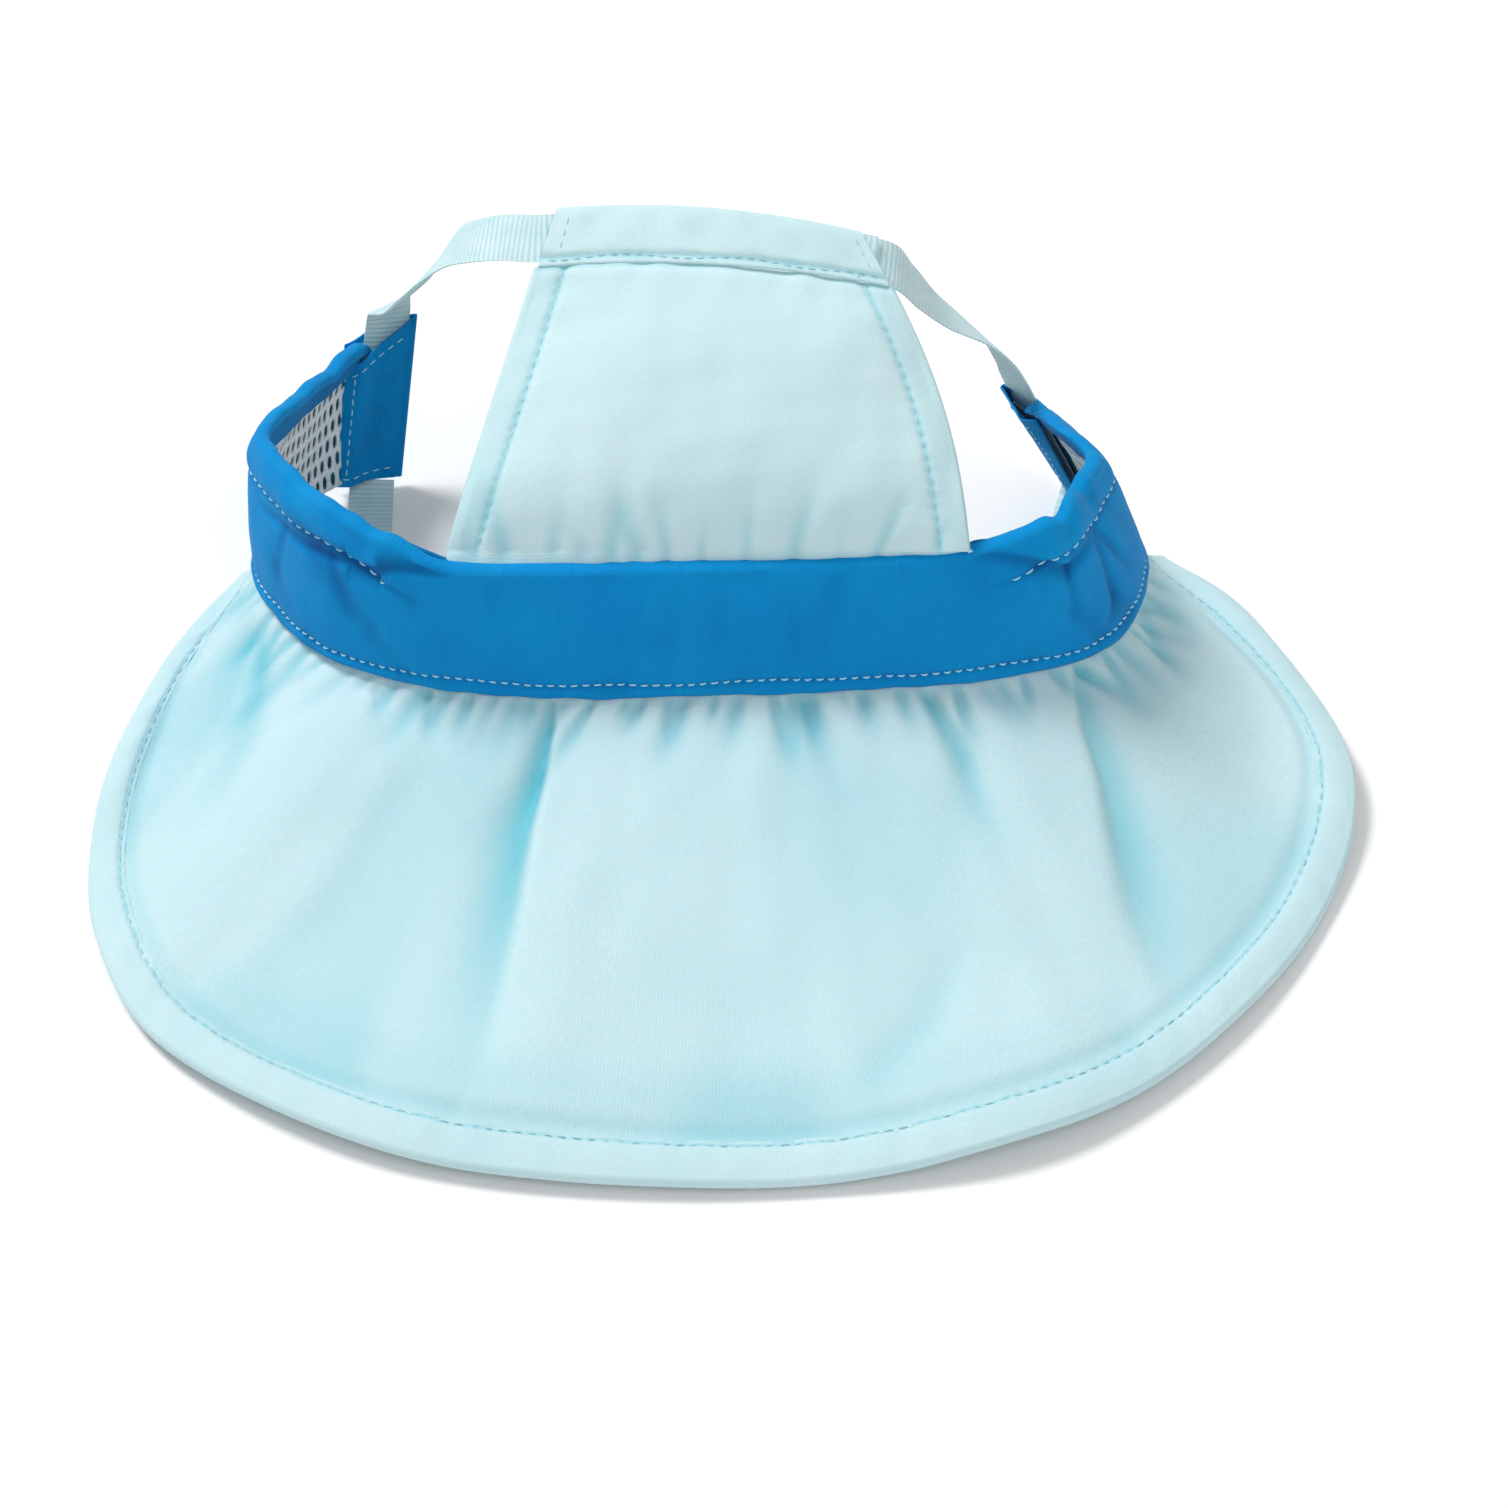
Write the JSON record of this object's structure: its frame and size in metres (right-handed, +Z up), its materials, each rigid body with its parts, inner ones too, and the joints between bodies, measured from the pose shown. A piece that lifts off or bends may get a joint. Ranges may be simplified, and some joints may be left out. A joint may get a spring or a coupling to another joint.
{
  "type": "pet sun hat",
  "caption": "Soft pet sun hat: gathered crescent brim, open-backed headband, leaning crown panel and a ribbon through rear casing and end tabs that ties under the chin.",
  "frame": {"origin": "on the table, below the middle of the hat's bounding box", "axes": "the brim points towards -Y, +X is to the right seen from the front, +Z is up"},
  "size_m": [0.2667, 0.2117, 0.1058],
  "materials": {
    "aqua_cloth": "matt plain-weave cotton",
    "aqua_lining": "matt plain-weave cotton",
    "blue_cloth": "matt woven polyester",
    "blue_facing": "matt woven polyester",
    "white_mesh": "knitted mesh",
    "grosgrain_ribbon": "ribbed satin",
    "stiffening": "non-woven",
    "wadding": "non-woven wadding",
    "pale_thread": "spun thread",
    "aqua_thread": "spun thread"
  },
  "bodies": {
    "headband": {"headband_cloth": "blue_cloth", "headband_stiffening": "stiffening", "headband_facing": "blue_facing", "mesh_lining": "white_mesh", "tab_left": "blue_cloth", "tab_right": "blue_cloth", "tab_ribbon_left": "grosgrain_ribbon", "tab_ribbon_right": "grosgrain_ribbon", "band_stitching": "pale_thread", "wing_stitching_left": "pale_thread", "wing_stitching_right": "pale_thread", "brim_root_top_cloth": "aqua_cloth", "brim_root_stiffening": "stiffening", "brim_root_under_cloth": "aqua_lining", "brim_root_binding_left": "aqua_cloth", "brim_root_binding_right": "aqua_cloth", "rear_ribbon_left": "grosgrain_ribbon", "rear_ribbon_right": "grosgrain_ribbon", "chin_ribbon_left": "grosgrain_ribbon", "chin_ribbon_right": "grosgrain_ribbon"},
    "brim_flap": {"brim_top_cloth": "aqua_cloth", "brim_stiffening_layer": "stiffening", "brim_under_cloth": "aqua_lining", "brim_binding": "aqua_cloth", "brim_hem_stitching": "aqua_thread"},
    "crown": {"crown_top_cloth": "aqua_cloth", "crown_wadding": "wadding", "crown_lining": "aqua_lining", "crown_casing": "aqua_cloth", "crown_stitching_left": "aqua_thread", "crown_stitching_right": "aqua_thread", "casing_ribbon": "grosgrain_ribbon"}
  },
  "joints": [
    {"name": "brim_turn_up", "type": "hinge", "parent": "headband", "child": "brim_flap", "pos_m": [0, -0.0104, 0.0263], "axis": [-1, 0, 0], "range_deg": [0, 95]},
    {"name": "crown_tilt", "type": "hinge", "parent": "headband", "child": "crown", "pos_m": [-0.0037, 0.0128, 0.0603], "axis": [1, 0, 0], "range_deg": [-30, 60], "deforming": ["rear_ribbon_left", "rear_ribbon_right"]}
  ]
}
